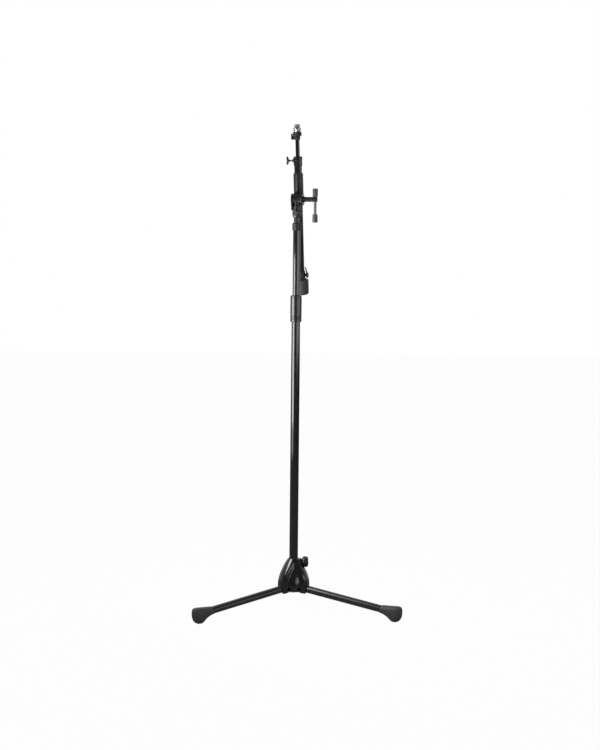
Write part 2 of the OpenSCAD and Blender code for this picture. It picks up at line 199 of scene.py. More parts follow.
def held(line, closed):
    """Adds a point 0.2 mm from each end of every side over 2 mm, so the shading stays straight along it."""
    made = []
    for start, end in zip(line, np.roll(line, -1, 0) if closed else line[1:]):
        made.append(start)
        length = np.linalg.norm(end - start)
        if length > 2:
            made += [start + (end - start) * 0.2 / length, end - (end - start) * 0.2 / length]
    return np.array(made if closed else made + [line[-1]])


def turn_rings(outline, around=96, swell=None):
    """Rings of (radius, height) rows in millimetres: (r cos a, r sin a, z), with r times swell(a, z)."""
    angle = circle(around)
    radius = np.repeat(outline[:, :1], around, 1)
    height = np.repeat(outline[:, 1:2], around, 1)
    if swell is not None:
        radius = radius * swell(angle[None, :], height)
    return np.stack([radius * np.cos(angle), radius * np.sin(angle), height], -1) * MM


def turned_shell(outline, radius=0.5, around=96, swell=None):
    """Points and faces of a solid of revolution; an outline that leaves the axis alone is a ring."""
    hollow = min(corner[0] for corner in outline) > 1e-6
    line = held(rounded(outline, radius, hollow), hollow)
    if hollow:
        rings = turn_rings(line, around, swell)
        return rings.reshape(-1, 3), grid_faces(len(rings), around, True)
    return tube_grid(turn_rings(line[1:-1], around, swell))


def moved(shell, matrix):
    """A shell, which is (points, faces), carried by a matrix."""
    return shell[0] @ matrix[:3, :3].T + matrix[:3, 3], shell[1]


def carried(matrix, shells):
    """Several shells as one, each carried by the matrix."""
    points, faces, count = [], [], 0
    for shell in shells:
        points.append(moved(shell, matrix)[0])
        faces += [tuple(corner + count for corner in face) for face in shell[1]]
        count += len(shell[0])
    return np.vstack(points), faces


def box_outline(inner, outer, low, high):
    """A closed rectangle, anticlockwise from its low inner corner; turned, it is a plain ring or a disc."""
    return [(inner, low), (outer, low), (outer, high), (inner, high)]


def both_sides(half, between=()):
    """An outline made of one half, the corners between, and the half's mirror image across the X axis."""
    return [*half, *between, *((x, -y, *rest) for x, y, *rest in reversed(half))]


def groove(radius, depth, start, end, slope=0.5):
    """The four corners of a groove round a turned piece, with sides that slope over a short length."""
    ease = 0.3
    return [(radius, start, ease), (radius - depth, start + slope, ease),
            (radius - depth, end - slope, ease), (radius, end, ease)]


def finish_piece(piece, node, finish=None):
    """Names the finish, rides the piece on its node's body and lets it stand for the node."""
    piece.data.materials.clear()
    piece.data.materials.append(FINISHES[finish or slot_of[node]])
    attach(piece, body_of[node])
    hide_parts(node)


def shell_piece(name, node, shells, matrix=MAST, smooth_angle=SMOOTH_ANGLE, finish=None):
    """One piece of one or more shells, carried by a matrix, which stands for a node."""
    finish_piece(mesh_object(name, *carried(matrix, shells), smooth_angle), node, finish)


def turned_piece(node, matrix, outline, radius=0.5, around=96, swell=None, finish=None):
    """One piece of one turned shell, which stands for a node."""
    shell = turned_shell(outline, radius, around, swell)
    shell_piece(node + "_turned", node, [shell], matrix, finish=finish)


# %% [markdown]
# Shader maths is easier to read as Python. A Value wraps the socket of a node, and an expression
# on Values adds the Math nodes. A Finish holds one material and makes any other node.

# %% Shader maths
class Value:
    """A socket whose arithmetic adds Math nodes to its finish."""

    def __init__(self, finish, socket):
        self.finish, self.socket = finish, socket

    def math(self, operation, *parts):
        return self.finish.node("ShaderNodeMath", {"operation": operation}, *parts)

    def __add__(self, other):
        return self.math("ADD", self, other)

    def __mul__(self, other):
        return self.math("MULTIPLY", self, other)

    def __rsub__(self, other):
        return self.math("SUBTRACT", other, self)

    def ramp(self, low, high):
        """0 below low, 1 above high, and a smooth step between them."""
        return self.finish.node(
            "ShaderNodeMapRange", {"interpolation_type": "SMOOTHSTEP"}, self, low, high, 0.0, 1.0
        )


class Finish:
    """A material with one Principled shader and the object's own coordinates."""

    def __init__(self, name, **numbers):
        self.material = bpy.data.materials.new(name)
        self.material.use_nodes = True
        self.tree = self.material.node_tree
        self.shader = self.tree.nodes["Principled BSDF"]
        for socket, number in numbers.items():
            self.shader.inputs[socket.replace("_", " ")].default_value = number
        self.where = self.node("ShaderNodeTexCoord", out="Object")

    def node(self, kind, settings=None, *sockets, out=0, **named):
        """Adds a node, sets its settings, then fills its sockets in order or by name."""
        made = self.tree.nodes.new(kind)
        for key, setting in (settings or {}).items():
            setattr(made, key, setting)
        for key, part in list(enumerate(sockets)) + list(named.items()):
            socket = made.inputs[key if isinstance(key, int) else key.replace("_", " ")]
            if isinstance(part, Value):
                self.tree.links.new(part.socket, socket)
            elif part is not None:
                socket.default_value = part
        return Value(self, made.outputs[out])

    def noise(self, scale, detail=2.0, stretch=None, roughness=0.5):
        """Noise from 0 to 1 with features of about one over scale metres."""
        where = self.where
        if stretch:
            where = self.node("ShaderNodeMapping", None, where, Scale=stretch)
        return self.node("ShaderNodeTexNoise", None, where, Scale=scale, Detail=detail, Roughness=roughness)

    def blend(self, share, first, second):
        """The first colour where share is 0 and the second where it is 1."""
        mix = self.tree.nodes.new("ShaderNodeMix")
        mix.data_type = "RGBA"
        colours = [socket for socket in mix.inputs if socket.type == "RGBA"]
        self.tree.links.new(share.socket, mix.inputs[0])
        for socket, colour in zip(colours, (first, second)):
            if isinstance(colour, Value):
                self.tree.links.new(colour.socket, socket)
            else:
                socket.default_value = (*colour, 1.0)
        return Value(self, next(socket for socket in mix.outputs if socket.type == "RGBA"))

    def feed(self, **parts):
        """Links Values to the shader's sockets, and a height in metres to Normal through a Bump node."""
        for socket, part in parts.items():
            if socket == "height":
                part = self.node("ShaderNodeBump", None, Strength=1.0, Distance=1.0, Height=part)
                socket = "Normal"
            self.tree.links.new(part.socket, self.shader.inputs[socket.replace("_", " ")])
        return self.material


# %% [markdown]
# The stand is nearly all black, so its finishes differ by gloss and grain. The tubes have a glossy
# powder coat, which dries with a faint ripple called orange peel. The hub and the clamp are cast
# and painted, so a slower waviness lies under the gloss. The moulded parts have a fine spark-eroded
# grain, and the feet are dull rubber. A little dust lightens what faces up.

# %% The finishes
def painted(name, shade, gloss, ripple, waviness=0.0):
    """Black paint: two close shades and roughness in clouds, orange peel and casting waves in height."""
    paint = Finish(name)
    clouds = paint.noise(60, 3)
    specks = paint.noise(2600, 1).ramp(0.66, 0.8)
    dark, light = (shade * 0.85,) * 3, (shade * 1.2, shade * 1.2, shade * 1.24)
    up = paint.node("ShaderNodeSeparateXYZ", None, paint.node("ShaderNodeNewGeometry", out="Normal"), out=2)
    dust = up.ramp(0.75, 1.0) * paint.noise(240, 4).ramp(0.35, 0.75)
    colour = paint.blend(clouds.ramp(0.3, 0.7), dark, light)
    colour = paint.blend(specks * 0.35, colour, (shade * 3,) * 3)
    colour = paint.blend(dust * 0.5, colour, (0.07, 0.068, 0.065))
    rough = paint.noise(150, 4) * 0.07 + (gloss - 0.035) + dust * 0.25
    height = paint.noise(650, 2) * ripple + paint.noise(95, 2) * waviness
    return paint.feed(Base_Color=colour, Roughness=rough, height=height)


def moulded(name, shade, gloss, grain):
    """Black plastic: a fine grain in height, slightly paler and duller where the grain stands up."""
    plastic = Finish(name)
    pits = plastic.noise(3200, 3, roughness=0.7)
    clouds = plastic.noise(90, 2)
    colour = plastic.blend(clouds.ramp(0.25, 0.75), (shade * 0.85,) * 3, (shade * 1.15,) * 3)
    colour = plastic.blend(pits.ramp(0.55, 0.9) * 0.5, colour, (shade * 1.8,) * 3)
    rough = pits * 0.12 + (gloss - 0.06) + clouds * 0.06
    return plastic.feed(Base_Color=colour, Roughness=rough, height=pits * grain)


def rubbered(name, shade):
    """Dull rubber: soft mottling, and pale scuffs low down where the feet touch the floor."""
    rubber = Finish(name, Specular_IOR_Level=0.4)
    low = rubber.node("ShaderNodeSeparateXYZ", None, rubber.where, out=2)
    scuffs = (1 - low.ramp(0.002, 0.014)) * rubber.noise(420, 5).ramp(0.45, 0.7)
    mottle = rubber.noise(900, 4)
    colour = rubber.blend(mottle, (shade * 0.8,) * 3, (shade * 1.25,) * 3)
    colour = rubber.blend(scuffs * 0.5, colour, (0.11, 0.107, 0.1))
    return rubber.feed(Base_Color=colour, Roughness=mottle * 0.16 + 0.5 + scuffs * 0.15,
                       height=mottle * 3e-5)


def machined(name, colour, gloss, lines):
    """Bare metal: turning lines as noise squeezed along the upright axis, with small dull stains."""
    metal = Finish(name, Metallic=1.0)
    cuts = metal.noise(260, 2, stretch=(1, 1, 26))
    stains = metal.noise(180, 5).ramp(0.52, 0.75)
    shade = metal.blend(stains * 0.5, colour, tuple(part * 0.72 for part in colour))
    return metal.feed(Base_Color=shade, Roughness=cuts * 0.14 + (gloss - 0.07) + stains * 0.12,
                      height=cuts * lines)


RECIPES = {
    "hub_paint": (painted, 0.005, 0.17, 3e-6, 8e-6),
    "tube_paint": (painted, 0.007, 0.13, 2.5e-6),
    "leg_paint": (painted, 0.007, 0.3, 8e-6),
    "clamp_paint": (painted, 0.004, 0.36, 5e-6, 1.2e-5),
    "foot_rubber": (rubbered, 0.034),
    "knob_plastic": (moulded, 0.004, 0.42, 1e-5),
    "clutch_plastic": (moulded, 0.008, 0.22, 4e-6),
    "collar_plastic": (moulded, 0.006, 0.48, 1e-5),
    "guide_plastic": (moulded, 0.09, 0.45, 1e-5),
    "bolt_steel": (machined, (0.4, 0.4, 0.41), 0.36, 4e-6),
    "bar_steel": (machined, (0.17, 0.17, 0.175), 0.42, 4e-6),
    "nut_metal": (machined, (0.42, 0.42, 0.43), 0.34, 5e-6),
    "neck_metal": (painted, 0.02, 0.28, 4e-6),
    "cap_plastic": (moulded, 0.06, 0.42, 8e-6),
    "weight_coat": (moulded, 0.03, 0.55, 3e-5),
}
FINISHES = {name: make(name, *numbers) for name, (make, *numbers) in RECIPES.items()}
for node, part in frame["nodes"].items():
    part.data.materials.clear()
    part.data.materials.append(FINISHES[slot_of[node]])

# %% [markdown]
# The drawing of the stand is already in the frame, so sizes are read from it. span gives the inner
# and outer radius and the two ends of a node, measured in the place that the node is drawn in.

# %% Sizes from the frame
def local_points(node, matrix):
    """A node's corners in millimetres, in the axes of a place."""
    corners = frame["nodes"][node].data.vertices
    points = np.empty(len(corners) * 3)
    corners.foreach_get("co", points)
    return (points.reshape(-1, 3) - matrix[:3, 3]) @ matrix[:3, :3] / MM


def span(node, matrix):
    """Inner radius, outer radius, low end and high end of a node round the Z axis of a place."""
    points = local_points(node, matrix)
    radius = np.hypot(points[:, 0], points[:, 1])
    return float(radius.min()), float(radius.max()), float(points[:, 2].min()), float(points[:, 2].max())


def middle(node, matrix, axis):
    """The mean of a node's corners along one axis of a place, in millimetres."""
    return float(local_points(node, matrix)[:, axis].mean())


def along_x(matrix, flip=False):
    """The place turned so that a piece drawn upright lies along the X axis, or along minus X."""
    return turned(matrix, [-1 if flip else 1, 0, 0], [0, 1, 0])


# %% [markdown]
# The tubes are drawn steel, so a plain ring with a small rounded rim is the whole shape. Many
# points round the ring keep the long reflections straight.

# %% Tubes
TUBE_PLACES = {"lower_tube": MAST, "upper_tube": MAST, "boom_tube": BOOM, "boom_rod": BOOM}
for leg in LEG_TURN:
    TUBE_PLACES[leg + "_leg_tube"] = leg_place(leg)
for node, matrix in TUBE_PLACES.items():
    finish = "leg_paint" if "leg" in node else None
    turned_piece(node, matrix, box_outline(*span(node, matrix)), 0.5, 128, finish=finish)

# %% [markdown]
# The clutch is a twist sleeve over a threaded base. Its base ring has a groove, and the sleeve has
# rounded ends, a shallow waist groove at each end and a lip at the top where the upper tube goes in.

# %% The clutch
def clutch_pieces():
    inner, outer, low, high = span("clutch_base", MAST)
    shoulder = span("clutch_grip", MAST)[2] - 0.5
    base = [(inner, low), (outer - 1.1, low), (outer, low + 1.2, 0.4),
            *groove(outer, 0.9, shoulder - 5.4, shoulder - 3.2),
            (outer, shoulder), (14, shoulder), (14, high), (inner, high)]
    turned_piece("clutch_base", MAST, base, 0.6, 128)
    inner, outer, low, high = span("clutch_grip", MAST)
    bore = 14.05
    grip = [(bore, low), (outer - 0.3, low, 0.4), (outer, low + 1),
            *groove(outer, 0.6, low + 3.4, low + 5.2), *groove(outer, 0.6, high - 8.2, high - 6.4),
            (outer, high - 2.4, 1.2), (outer - 2.4, high, 1.2), (inner, high), (inner, high - 8),
            (12.6, high - 8), (bore, high - 19)]
    turned_piece("clutch_grip", MAST, grip, 0.6, 128)


clutch_pieces()

# %% [markdown]
# Above the tubes come a moulded collar, a short metal neck with its stud, and a lock nut. The nut
# is gripped by hand, so it has shallow flutes all round: its radius dips with a power of the cosine.

# %% The neck
STUD = 4.75


def flutes(count, depth, low, high, sharpness=1.0):
    """Radius factor 1 - depth * |cos(count a / 2)| ** sharpness, fading out below low and above high."""
    def swell(angle, height):
        dip = np.abs(np.cos(count * angle / 2)) ** sharpness
        fade = np.clip(np.minimum(height - low, high - height) / 1.2, 0, 1)
        return 1 - depth * dip * fade
    return swell


def neck_pieces():
    inner, outer, low, high = span("top_collar", MAST)
    step, bore = 4.6, 9.1
    collar = [(inner, low), (outer - 0.9, low, 0.6), (outer, low + 1.1), (outer, high - 1.8),
              (outer - 1, high, 0.8), (bore, high), (bore, high - step), (inner, high - step)]
    turned_piece("top_collar", MAST, collar, 0.6)
    low, high = span("neck_stud", MAST)[2:]
    base, neck_top = span("upper_tube", MAST)[3], span("lock_nut", MAST)[2] - 0.4
    radius = 9
    neck = [(0, low), (radius, low), *groove(radius, 0.7, base + 7.4, base + 10.2, 0.7),
            (radius, neck_top - 1.1), (radius - 0.4, neck_top), (STUD, neck_top), (STUD, high), (0, high)]
    turned_piece("neck_stud", MAST, neck, 0.4)
    inner, outer, low, high = span("lock_nut", MAST)
    nut = [(inner, low), (11, low, 0.4), (outer, low + 4.9, 0.8), (outer, high - 1, 0.7),
           (outer - 0.8, high, 0.6), (inner, high)]
    turned_piece("lock_nut", MAST, nut, 0.5, 288, flutes(24, 0.05, low + 4.4, high - 0.6, 0.7))


neck_pieces()

# %% [markdown]
# Some pieces are flat castings: the cheeks of the clamp, the wing screw, the cable clip. Each is an
# outline carried along its thickness. Near both faces the outline shrinks along its own normals by
# r (1 - cos a) while it rises by r sin a, which rolls the edge over.

# %% Flat castings
def outline_normals(outline):
    """Outward unit normals of a closed anticlockwise outline, from each point's two neighbours."""
    tangent = unit_rows(np.roll(outline, -1, 0) - np.roll(outline, 1, 0))
    return np.stack([tangent[:, 1], -tangent[:, 0]], 1)


def slab_shell(corners, low, high, edge=0.7, corner=1.5, steps=4):
    """A slab between two heights with its outline's corners and its edges rolled over."""
    outline = rounded(corners, corner, True, 6)
    normals = outline_normals(outline)
    bend = np.linspace(0, math.pi / 2, steps + 1)
    inset = edge * (1 - np.cos(bend[::-1]))
    rise = edge * (1 - np.sin(bend[::-1]))
    inset = np.concatenate([inset, inset[::-1]])
    height = np.concatenate([low + rise, high - rise[::-1]])
    flat = outline[None] - normals[None] * inset[:, None, None]
    rings = np.concatenate([flat, np.repeat(height[:, None, None], len(outline), 1)], 2) * MM
    rows, around = rings.shape[:2]
    ends = [range(around - 1, -1, -1), range((rows - 1) * around, rows * around)]
    return rings.reshape(-1, 3), [*grid_faces(rows, around), *ends]


def cut(piece, cutters):
    """Takes the cutters' solids out of a piece with exact booleans, and removes the cutters."""
    for cutter in cutters:
        knife = piece.modifiers.new(cutter.name, "BOOLEAN")
        knife.operation, knife.solver, knife.object = "DIFFERENCE", "EXACT", cutter
    bpy.context.view_layer.update()
    graph = bpy.context.evaluated_depsgraph_get()
    carved = bpy.data.meshes.new_from_object(piece.evaluated_get(graph))
    piece.modifiers.clear()
    piece.data = carved
    for cutter in cutters:
        bpy.data.objects.remove(cutter)
    carved.shade_smooth()
    carved.set_sharp_from_angle(angle=math.radians(SMOOTH_ANGLE))
    return piece


# %% [markdown]
# The boom clamp is a round barrel on the mast and a fork that hugs it. The fork's two cheeks run
# back to a sleeve that carries the boom. The cheeks differ: the left one is a deep plate, and the
# right one is smaller and carries a raised seat for the clamp screw.

# %% The swivel and the fork
SCREW = along_x(HEAD)
CHEEK = along_x(TILT)
SEAT, WASHER = 4.4, 0.8
CHEEK_IN, CHEEK_OUT = 11.7, 16.2
BOOM_OFFSET = middle("boom_tube", TILT, 1)


def swivel_pieces():
    half = 10.5
    barrel = both_sides([(0, -half), (12.6, -half, 0.8), (14, -9.6), (14, -8, 0.4), (13.5, -7.4, 0.3)])
    low = span("swivel_body", MAST)[2]
    socket = [(0, low), (10.7, low, 0.6), (11.5, low + 0.9, 0.5), (11.5, low + 14.8, 0.4),
              (10.7, low + 15.6, 0.5), (9.5, low + 16), (9.5, low + 26), (0, low + 26)]
    shells = [moved(turned_shell(barrel, 0.8), SCREW), turned_shell(socket)]
    shell_piece("swivel_casting", "swivel_body", shells)
    washers = [box_outline(SEAT, 12.5, low, low + WASHER) for low in (-half - WASHER, half)]
    washers = [turned_shell(washer, 0.2) for washer in washers]
    shell_piece("friction_washers_turned", "friction_washers", washers, SCREW)


def fork_piece():
    top = span("boom_holder", BOOM)[3]
    left = [(-14, -14, 5), (-11, -28, 3), (-6, -31.5, 3), (10, -31.5, 4), (20, -23.5, 3), (23.4, -20, 2),
            (BOOM_OFFSET, -20), (BOOM_OFFSET, 11.5), (4, 16, 6), (-8, 15, 5), (-15, 7, 5)]
    right = [(-11, -11, 5), (-2, -16.5, 5), (12, -20, 4), (BOOM_OFFSET, -20), (BOOM_OFFSET, 11.5),
             (12, 13.5, 5), (-6, 14, 5), (-13.6, 7, 5), (-14.4, -4, 5)]
    base, inner, outer = -20, 12.35, 14
    sleeve = [(inner, base), (outer - 0.8, base, 0.6), (outer, base + 1), *groove(outer, 0.4, -14.5, -12.3),
              *groove(outer, 0.4, top - 8, top - 5.8), (outer, top - 1), (outer - 0.8, top, 0.6),
              (inner, top)]
    seat = [(SEAT, 15), (11.4, 15), (9.4, 17.2, 1.2), (9.4, 18.4), (8.8, 19, 0.5), (SEAT, 19)]
    left_rim = [(8.3, -16.9), (10.6, -16.9, 0.5), (11.6, -16.2, 0.5), (11.6, -15), (8.3, -15)]
    shells = [moved(slab_shell(left, -CHEEK_OUT, -CHEEK_IN, 1.1, 4), CHEEK),
              moved(slab_shell(right, CHEEK_IN, CHEEK_OUT, 1.1, 4), CHEEK),
              moved(turned_shell(sleeve, 0.6, 128), BOOM),
              moved(turned_shell(seat), CHEEK),
              moved(turned_shell(left_rim), CHEEK)]
    shell_piece("fork_casting", "boom_holder", shells)


swivel_pieces()
fork_piece()

# %% [markdown]
# The clamp screw ends in a long moulded boss. A steel bar slides freely through the boss between
# two plastic caps and hangs down by its own weight, ready to be used as a lever. On the left a
# domed nut sits in a round recess, with the end of the screw just showing in it.

# %% The clamp screw and its bar
def threaded_shell(radius, low, high, pitch, depth, around=64, rows_per_turn=8):
    """A screw: radius - depth * (triangle wave of z / pitch - a / 2 pi), down to the core at its ends."""
    rows = max(4, int((high - low) / pitch * rows_per_turn))
    height = np.linspace(low, high, rows)[:, None]
    angle = circle(around)[None, :]
    phase = (height / pitch - angle / (2 * math.pi)) % 1
    wave = np.abs(2 * phase - 1)
    taper = np.clip(np.minimum(height - low, high - height) / pitch, 0, 1)
    reach = radius - depth + depth * (1 - wave) * taper
    rings = np.stack([reach * np.cos(angle), reach * np.sin(angle), np.repeat(height, around, 1)], -1)
    return tube_grid(rings * MM)


def screw_piece(name, node, matrix, radius, pitch, depth, around=64, finish=None):
    """A threaded rod as long as its node."""
    low, high = span(node, matrix)[2:]
    thread = threaded_shell(radius, low, high, pitch, depth, around)
    shell_piece(name, node, [thread], matrix, THREAD_ANGLE, finish)


def clamp_pieces():
    screw_piece("clamp_screw_thread", "clamp_screw", SCREW, 4, 1.25, 0.55)
    inner, outer, low, high = span("clamp_nut", CHEEK)
    dome = [(inner, low + 0.2), (5.4, low, 0.4), (7.2, low + 0.8, 1), (outer, low + 2.4, 1), (outer, high),
            (inner, high)]
    turned_piece("clamp_nut", CHEEK, dome, 0.4)
    outer, low, high = span("clamp_boss", SCREW)[1:]
    thick, waist = 7.25, 6.9
    boss = [(0, low), (outer - 0.5, low, 0.4), (outer, low + 0.6), (outer, low + 1.4, 0.5),
            (thick, low + 3.4, 1.2), (waist, low + 12, 4), (waist, high - 18, 4), (thick, high - 13, 0.6),
            (thick, high - 1.4, 0.8), (6, high, 0.8), (0, high)]
    turned_piece("clamp_boss", SCREW, boss, 0.6)


def bar_pieces():
    bar = shifted(HEAD, x=middle("t_bar", HEAD, 0))
    outer, low, high = span("t_bar", bar)[1:]
    rod = [(0, low), (outer - 0.6, low), (outer, low + 0.6), (outer, high - 0.6), (outer - 0.6, high),
           (0, high)]
    turned_piece("t_bar", bar, rod, 0.3)
    for node, up in (("t_bar_cap_upper", 1), ("t_bar_cap_lower", -1)):
        matrix = bar if up > 0 else turned(bar, [0, 0, -1], [1, 0, 0])
        outer, low, high = span(node, matrix)[1:]
        cap = [(0, low), (outer - 1.2, low, 0.5), (outer - 0.35, low + 1.2, 0.6), (outer, high - 4, 3),
               (outer - 0.2, high - 1.6, 1.2), (outer - 2.6, high, 1.4), (0, high)]
        turned_piece(node, matrix, cap, 0.6)


clamp_pieces()
bar_pieces()

# %% [markdown]
# The boom tube slides in a plastic liner whose two flanges show at the ends of the sleeve. A collar
# at its upper end carries the wing screw that locks the thin rod. The wing is a flat casting with
# two lobes, on a short barrel.

# %% The boom tube and its wing screw
def liner_pieces():
    inner, outer, low, high = span("boom_liner", BOOM)
    skin = 12.3
    liner = [(inner, low), (outer - 0.4, low, 0.3), (outer, low + 0.5, 0.3), (outer, low + 1.5),
             (skin, low + 1.5), (skin, high - 1.1), (outer, high - 1.1), (outer, high - 0.4, 0.3),
             (outer - 0.4, high, 0.3), (inner, high)]
    turned_piece("boom_liner", BOOM, liner, 0.2, 128)
    inner, outer, low, high = span("boom_end_cap", BOOM)
    plug, flange = 9.4, 2.4
    cap = [(inner, low), (outer - 1.2, low, 1), (outer, low + 1.2, 0.8), (outer, low + flange),
           (plug, low + flange), (plug, high), (inner, high)]
    turned_piece("boom_end_cap", BOOM, cap, 0.3)


def boss_shell(reach, start, end, radius, matrix):
    """A short round boss along X from start to end, with a rolled rim and a sunk ring round the screw."""
    outline = [(0, start), (radius + 0.5, start), (radius, end - 1.2, 0.6), (radius - 0.9, end, 0.6),
               (reach + 1, end, 0.3), (reach + 0.6, end - 0.5, 0.2), (0, end - 0.5)]
    return moved(turned_shell(outline, around=64), matrix)


def collar_pieces():
    wing_at = shifted(BOOM, z=middle("boom_wing_screw", BOOM, 2))
    left = along_x(wing_at, flip=True)
    low, high = span("boom_collar", BOOM)[2:]
    tube, rod, step = 11, 6.5, 17
    collar = [(tube, low), (11.8, low, 0.5), (12.4, low + 1), (12.4, high - 10.4, 0.3),
              (13, high - 9.8, 0.4), (13, high - 2.4, 0.5), (11.7, high, 1.4), (rod, high),
              (rod, high - step), (tube, high - step)]
    screw = 2
    shells = [moved(turned_shell(collar, around=128), BOOM), boss_shell(screw, 9, 15.5, 5.6, left)]
    shell_piece("collar_moulding", "boom_collar", shells, finish="clutch_plastic")
    screw_piece("wing_screw_thread", "boom_wing_screw", left, screw, 0.7, 0.3, 32, "neck_metal")
    lobe = [(26.6, -3.4, 1), (27.4, -9.4, 2.5), (29, -11.6, 1.6), (31.6, -11.8, 1.3), (33.2, -10, 1.3),
            (33, -6, 3)]
    blade = both_sides(lobe, [(32, 0, 4)])
    across = turned(wing_at, [0, -1, 0], [-1, 0, 0])
    barrel = [(0, 22.6), (2.9, 22.6, 0.4), (3.4, 23.2), (3.4, 27.4, 0.8), (2.9, 29.6, 0.6), (0, 30)]
    shells = [moved(slab_shell(blade, -2.2, 2.2, 1.2, 2, 5), across),
              moved(turned_shell(barrel, around=64), left)]
    shell_piece("wing_moulding", "boom_wing", shells)


liner_pieces()
collar_pieces()

# %% [markdown]
# At the tip a knurled plastic ring backs a flared metal nut, and above them is the slotted adapter
# that the microphone clip screws onto. Its thread has 27 turns to the inch. The rod also carries a
# small open hook that keeps a cable beside it.

# %% The tip
def tip_pieces():
    outer, low, high = span("tip_ring", BOOM)[1:]
    ring = [(STUD, low), (outer - 0.9, low, 0.6), (outer, low + 1.1), (outer, high - 2.1, 0.7),
            (outer - 1.2, high - 0.6, 0.6), (9, high), (STUD, high)]
    turned_piece("tip_ring", BOOM, ring, 0.4, 360, flutes(30, 0.045, low + 0.9, high - 1.6, 0.6))
    low, high = span("tip_nut", BOOM)[2:]
    bore = 4.8
    nut = [(bore, low), (9, low, 0.3), (9.5, low + 2.2, 1.5), (10.7, low + 6.2, 2), (11, low + 7, 0.4),
           (11, low + 9.8, 0.4), (10.2, high, 0.5), (bore, high)]
    turned_piece("tip_nut", BOOM, nut, 0.4, 360, flutes(60, 0.016, low + 6.8, high - 1.6, 0.8))
    outer, low, high = span("thread_adapter", BOOM)[1:]
    thread = threaded_shell(outer, low, high, INCH / 27, 0.52, 96, 10)
    adapter = mesh_object("adapter_thread", *moved(thread, BOOM), 50)
    knives = {"slot_cutter": slab_shell(box_outline(-1.5, 1.5, -12, 12), low + 2.5, high + 4, 0.01, 0),
              "bore_cutter": turned_shell(box_outline(0, bore, low - 2, high + 2), 0)}
    cutters = [mesh_object(name, *moved(shell, BOOM)) for name, shell in knives.items()]
    finish_piece(cut(adapter, cutters), "thread_adapter")
    low, high = span("rod_stud", BOOM)[2:]
    base = span("boom_rod", BOOM)[3]
    stud = threaded_shell(STUD, base + 4, high, INCH / 16, 0.7)
    shank = turned_shell([(0, low), (4.7, low), (4.7, base), (6, base), (6, base + 4.2, 0.3),
                          (0, base + 4.2)], 0.3)
    shell_piece("stud_thread", "rod_stud", [stud, shank], BOOM, THREAD_ANGLE)


def hook_piece():
    low, high = span("cable_clip", BOOM)[2:]
    inner, outer, tall = 6.05, 8.3, 10
    band = [(inner, low), (outer, low, 0.6), (outer, low + tall, 0.6), (inner, low + tall)]
    jaw = [(-17.6, -4.4, 1.6), (-14, -4.4, 0.8), (-14, -1.6, 0.6), (-12.4, 0.4, 1.6), (-10.8, -1.6, 0.6),
           (-10.8, -4.6, 0.6), (-6.3, -5.2, 0.6), (-6.3, 5.2, 0.6), (-11, 4.4, 1.6), (-17.6, 4.4, 1.6)]
    post = both_sides([(-17.6, -4.4, 1.6), (-14, -4.4, 0.8)], [(-13, 0, 1.6)])
    shells = [turned_shell(band, 0.3, 64), slab_shell(jaw, low, low + tall, 0.5, 0.6),
              slab_shell(post, low + tall - 1, high, 0.6, 0.6)]
    shell_piece("cable_hook", "cable_clip", shells, BOOM)


tip_pieces()
hook_piece()

# %% [markdown]
# The counterweight is a cast cylinder with a thick matt coat and soft edges. Its neck ring is
# clamped to the tube by a small thumb screw with a turned head and a short lever.

# %% The counterweight
def weight_pieces():
    inner, outer, low, high = span("counterweight", BOOM)
    weight = [(inner, low), (outer, low, 6.2), (outer, high, 2.2), (inner, high)]
    turned_piece("counterweight", BOOM, weight, 1, 128)
    screw_at = shifted(BOOM, z=middle("weight_screw", BOOM, 2))
    right = along_x(screw_at)
    low, high = span("weight_collar", BOOM)[2:]
    inner, outer, screw = 11.05, 13.5, 2.5
    ring = [(inner, low), (outer, low, 0.3), *groove(outer, 0.4, high - 4, high - 2.4, 0.4),
            (outer, high - 1.2), (12.4, high, 0.7), (inner, high)]
    shells = [moved(turned_shell(ring, 0.4, 128), BOOM), boss_shell(screw, 10, 15.4, 4.8, right)]
    shell_piece("weight_ring_moulding", "weight_collar", shells)
    screw_piece("weight_screw_thread", "weight_screw", right, screw, 0.8, 0.35, 32)
    head = [(0, 15.8), (5, 15.8, 0.4), (7.6, 16.8, 0.4), (7.6, 21.4, 0.5), (6.4, 22.6, 0.6), (0, 22.6)]
    lever = [(15.8, 0), (20.2, 0), (19.6, 11, 4), (15.4, 22.4, 1.6), (13, 24, 0.7), (12.2, 22, 0.7),
             (15.8, 12, 4)]
    across = turned(screw_at, [0, -1, 0], [1, 0, 0])
    shells = [moved(turned_shell(head, 0.5, 192, flutes(16, 0.05, 16.9, 21.6)), right),
              moved(slab_shell(lever, -2, 2, 0.6, 1), across)]
    shell_piece("thumb_screw_moulding", "weight_screw_head", shells)


weight_pieces()

# %% [markdown]
# The hub is one casting: a cone that opens into three lobes, one over each leg. A lathe can't make
# it, so its radius is a function of angle and height. Two outlines are drawn, one along a lobe and
# one along the valley between lobes, and the surface goes from one to the other with the distance
# from the lobe's middle, which keeps the lobes the same width from top to bottom.

# %% The hub's surface
HUB_LOW, HUB_HIGH = span("hub", MAST)[2:]
LOBE_LINE = rounded([(47.5, 56), (47.5, 80.7), (46.8, 88.7), (44.9, 98.6), (41.1, 110), (36.6, 119.9),
                     (31.1, 129.8), (25.2, 140.2), (18.8, 150), (15, 155)], 60)
VALLEY_LINE = rounded([(38, 56), (38, 79), (36, 91), (33, 102), (29, 114), (24.5, 126), (19.6, 138),
                       (16.2, 148), (15, 155)], 60)
RIM, EDGE_RISE = 1.6, 6.6
LOBE_HALF, VALLEY_FROM = 12.5, 29.5
HUB_AROUND = 360


def eased(share):
    """The smooth step s * s * (3 - 2 s) of a share kept between 0 and 1."""
    share = np.clip(share, 0, 1)
    return share * share * (3 - 2 * share)


